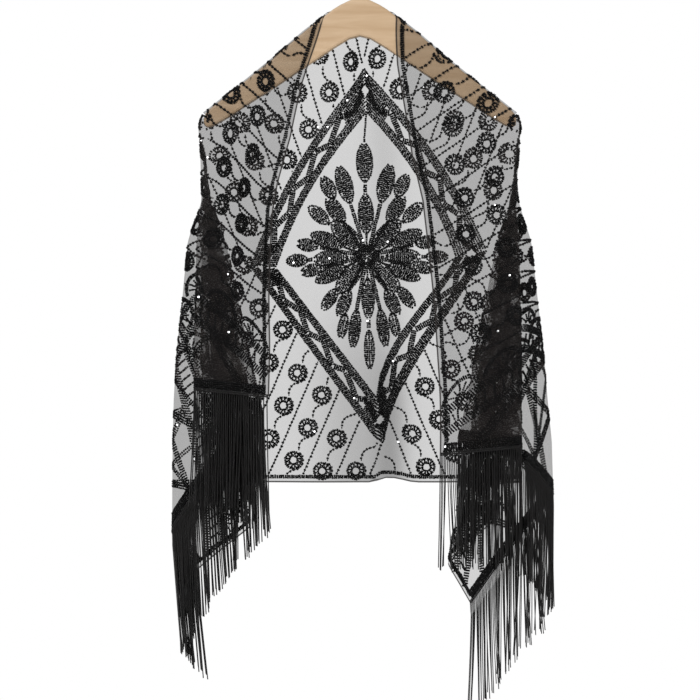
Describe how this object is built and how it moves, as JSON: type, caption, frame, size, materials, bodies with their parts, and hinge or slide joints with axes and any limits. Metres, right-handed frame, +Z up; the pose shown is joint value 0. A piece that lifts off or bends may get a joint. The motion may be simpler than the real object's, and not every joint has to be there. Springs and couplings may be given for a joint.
{
  "type": "evening stole on a hanger",
  "caption": "Sheer black net evening stole, embroidered all over with beads and sequins, with long straight fringe on both ends, draped over a flat wooden hanger.",
  "frame": {"origin": "the inner top of the hook, where the hanger rests on its rail", "axes": "+Z up, -Y towards the viewer of the front, +X to the right as seen from the front"},
  "size_m": [0.4265, 0.0522, 0.8785],
  "materials": {
    "pale_wood": "clear satin lacquer on pale wood",
    "steel": "bright nickel-plated wire",
    "black_net": "sheer net with black beads and sequins",
    "black_fringe": "soft black yarn"
  },
  "bodies": {
    "root": {"hanger_body": "pale_wood", "hanger_hook": "steel", "stole_back": "black_net", "stole_left_front": "black_net", "stole_right_front": "black_net", "fringe_left": "black_fringe", "fringe_right": "black_fringe"}
  },
  "joints": []
}
